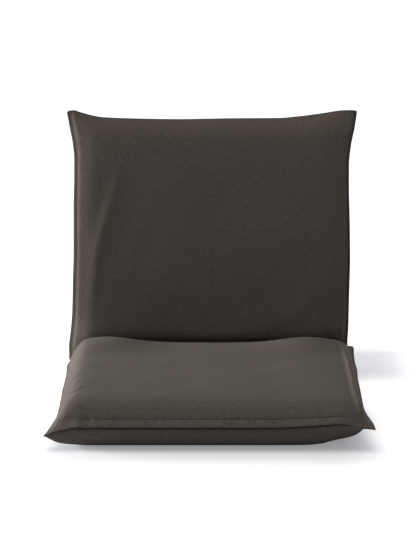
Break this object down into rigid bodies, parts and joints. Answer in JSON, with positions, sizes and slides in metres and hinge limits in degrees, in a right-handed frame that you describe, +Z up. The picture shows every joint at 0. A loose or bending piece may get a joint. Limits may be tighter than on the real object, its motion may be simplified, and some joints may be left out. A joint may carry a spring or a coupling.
{
  "type": "folding floor chair",
  "caption": "Legless folding floor chair: padded seat and back in a sewn cloth cover, on steel tube frames joined by ratchet recliner hinges.",
  "frame": {"origin": "centre of the seat's underside, on the floor", "axes": "+Z up, -Y the way the sitter faces, -X the sitter's right hand"},
  "size_m": [0.407, 0.4821, 0.3529],
  "materials": {
    "cover_cloth": "matte woven cotton",
    "foam": "open-cell foam",
    "webbing": "woven elastic webbing",
    "tube_steel": "black powder coat",
    "zinc_steel": "zinc-plated pressed steel",
    "spring_steel": "drawn wire",
    "zip_nylon": "nylon tape and coil",
    "zip_metal": "darkened metal"
  },
  "bodies": {
    "seat": {"seat_cover_top": "cover_cloth", "seat_cover_base": "cover_cloth", "fold_cover_front": "cover_cloth", "fold_cover_rear": "cover_cloth", "placket_flap": "cover_cloth", "seat_foam_top": "foam", "seat_foam_base": "foam", "seat_frame_tube": "tube_steel", "seat_cross_bar": "tube_steel", "seat_strap_1": "webbing", "seat_strap_2": "webbing", "seat_strap_3": "webbing", "case_outer_left": "zinc_steel", "case_inner_left": "zinc_steel", "pawl_spring_left": "spring_steel", "pawl_pin_left": "zinc_steel", "case_spacer_left": "zinc_steel", "pivot_pin_left": "zinc_steel", "seat_tube_rivet_left": "zinc_steel", "case_outer_right": "zinc_steel", "case_inner_right": "zinc_steel", "pawl_spring_right": "spring_steel", "pawl_pin_right": "zinc_steel", "case_spacer_right": "zinc_steel", "pivot_pin_right": "zinc_steel", "seat_tube_rivet_right": "zinc_steel", "zip_tape_upper": "zip_nylon", "zip_tape_lower": "zip_nylon", "zip_coil": "zip_nylon", "zip_stop_left": "zip_metal", "zip_stop_right": "zip_metal"},
    "back": {"back_cover_front": "cover_cloth", "back_cover_rear": "cover_cloth", "back_foam_front": "foam", "back_foam_rear": "foam", "back_frame_tube": "tube_steel", "back_cross_bar": "tube_steel", "back_strap_1": "webbing", "back_strap_2": "webbing", "back_strap_3": "webbing", "gear_arm_left": "zinc_steel", "back_tube_rivet_left": "zinc_steel", "gear_arm_right": "zinc_steel", "back_tube_rivet_right": "zinc_steel"},
    "pawl_left": {"pawl_left": "zinc_steel"},
    "pawl_right": {"pawl_right": "zinc_steel"},
    "zip_slider": {"zip_slider": "zip_metal"},
    "zip_pull": {"zip_pull": "zip_metal"}
  },
  "joints": [
    {"name": "back_fold", "type": "hinge", "parent": "seat", "child": "back", "pos_m": [0, 0.195, 0.032], "axis": [1, 0, 0], "range_deg": [-78, 54], "deforming": ["fold_cover_front", "fold_cover_rear"]},
    {"name": "pawl_swing_left", "type": "hinge", "parent": "seat", "child": "pawl_left", "pos_m": [-0.146, 0.169, 0.032], "axis": [1, 0, 0], "range_deg": [0, 6], "deforming": ["pawl_spring_left"]},
    {"name": "pawl_swing_right", "type": "hinge", "parent": "seat", "child": "pawl_right", "pos_m": [0.146, 0.169, 0.032], "axis": [1, 0, 0], "range_deg": [0, 6], "deforming": ["pawl_spring_right"]},
    {"name": "zip_slide", "type": "slide", "parent": "seat", "child": "zip_slider", "axis": [1, 0, 0], "range_m": [0, 0.284]},
    {"name": "zip_pull_swing", "type": "hinge", "parent": "zip_slider", "child": "zip_pull", "pos_m": [-0.1422, -0.18263, 0.03664], "axis": [0, -0.7282, -0.6854], "range_deg": [0, 165], "deforming": ["placket_flap"]}
  ]
}
